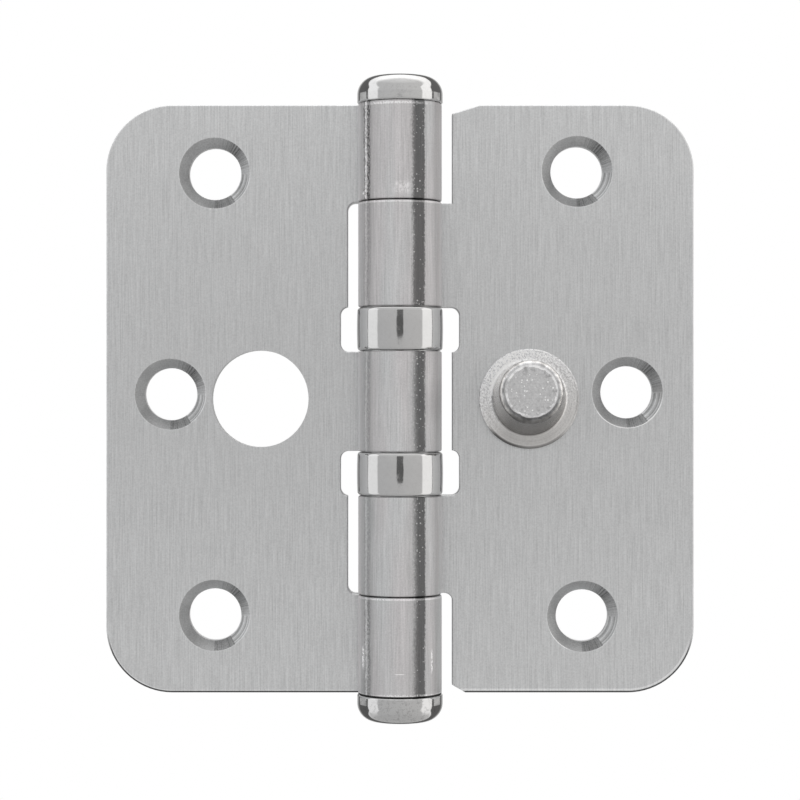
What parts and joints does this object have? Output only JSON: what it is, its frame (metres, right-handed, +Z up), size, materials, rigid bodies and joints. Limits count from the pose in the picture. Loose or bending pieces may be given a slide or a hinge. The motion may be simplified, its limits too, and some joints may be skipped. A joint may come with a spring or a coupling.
{
  "type": "ball bearing hinge",
  "caption": "Flat square door hinge with round corners, wound knuckles, thrust ball bearings between them, a capped pin and a security stud.",
  "frame": {"origin": "on the pin axis at mid height of the leaves", "axes": "+Z up along the pin, -Y the side with the countersinks, +X towards the moving leaf as it lies open"},
  "size_m": [0.089, 0.014, 0.0972],
  "materials": {
    "brushed_stainless": "brushed along the pin",
    "polished_steel": "mirror polished",
    "turned_steel": "turned",
    "ground_steel": "ground",
    "bearing_steel": "hardened and ground",
    "cage_brass": "stamped"
  },
  "bodies": {
    "fixed_side": {"fixed_leaf": "brushed_stainless", "hinge_pin": "ground_steel", "top_cap": "polished_steel", "bottom_cap": "polished_steel", "upper_bearing_bottom_race": "bearing_steel", "upper_bearing_shell": "polished_steel", "lower_bearing_top_race": "bearing_steel", "lower_bearing_shell": "polished_steel"},
    "moving_side": {"moving_leaf": "brushed_stainless", "security_stud": "turned_steel", "upper_bearing_top_race": "bearing_steel", "lower_bearing_bottom_race": "bearing_steel"},
    "upper_ball_set": {"upper_bearing_balls": "bearing_steel", "upper_bearing_cage": "cage_brass"},
    "lower_ball_set": {"lower_bearing_balls": "bearing_steel", "lower_bearing_cage": "cage_brass"}
  },
  "joints": [
    {"name": "leaf_swing", "type": "hinge", "parent": "fixed_side", "child": "moving_side", "pos_m": [0, 0, 0], "axis": [0, 0, -1], "range_deg": [-120, 180]},
    {"name": "upper_ball_roll", "type": "hinge", "parent": "fixed_side", "child": "upper_ball_set", "pos_m": [0, 0, 0.0105], "axis": [0, 0, -1], "range_deg": [-60, 90]},
    {"name": "lower_ball_roll", "type": "hinge", "parent": "fixed_side", "child": "lower_ball_set", "pos_m": [0, 0, -0.01125], "axis": [0, 0, -1], "range_deg": [-60, 90]}
  ],
  "couplings": [
    {"joint": "upper_ball_roll", "follows": "leaf_swing", "ratio": 0.5},
    {"joint": "lower_ball_roll", "follows": "leaf_swing", "ratio": 0.5}
  ]
}
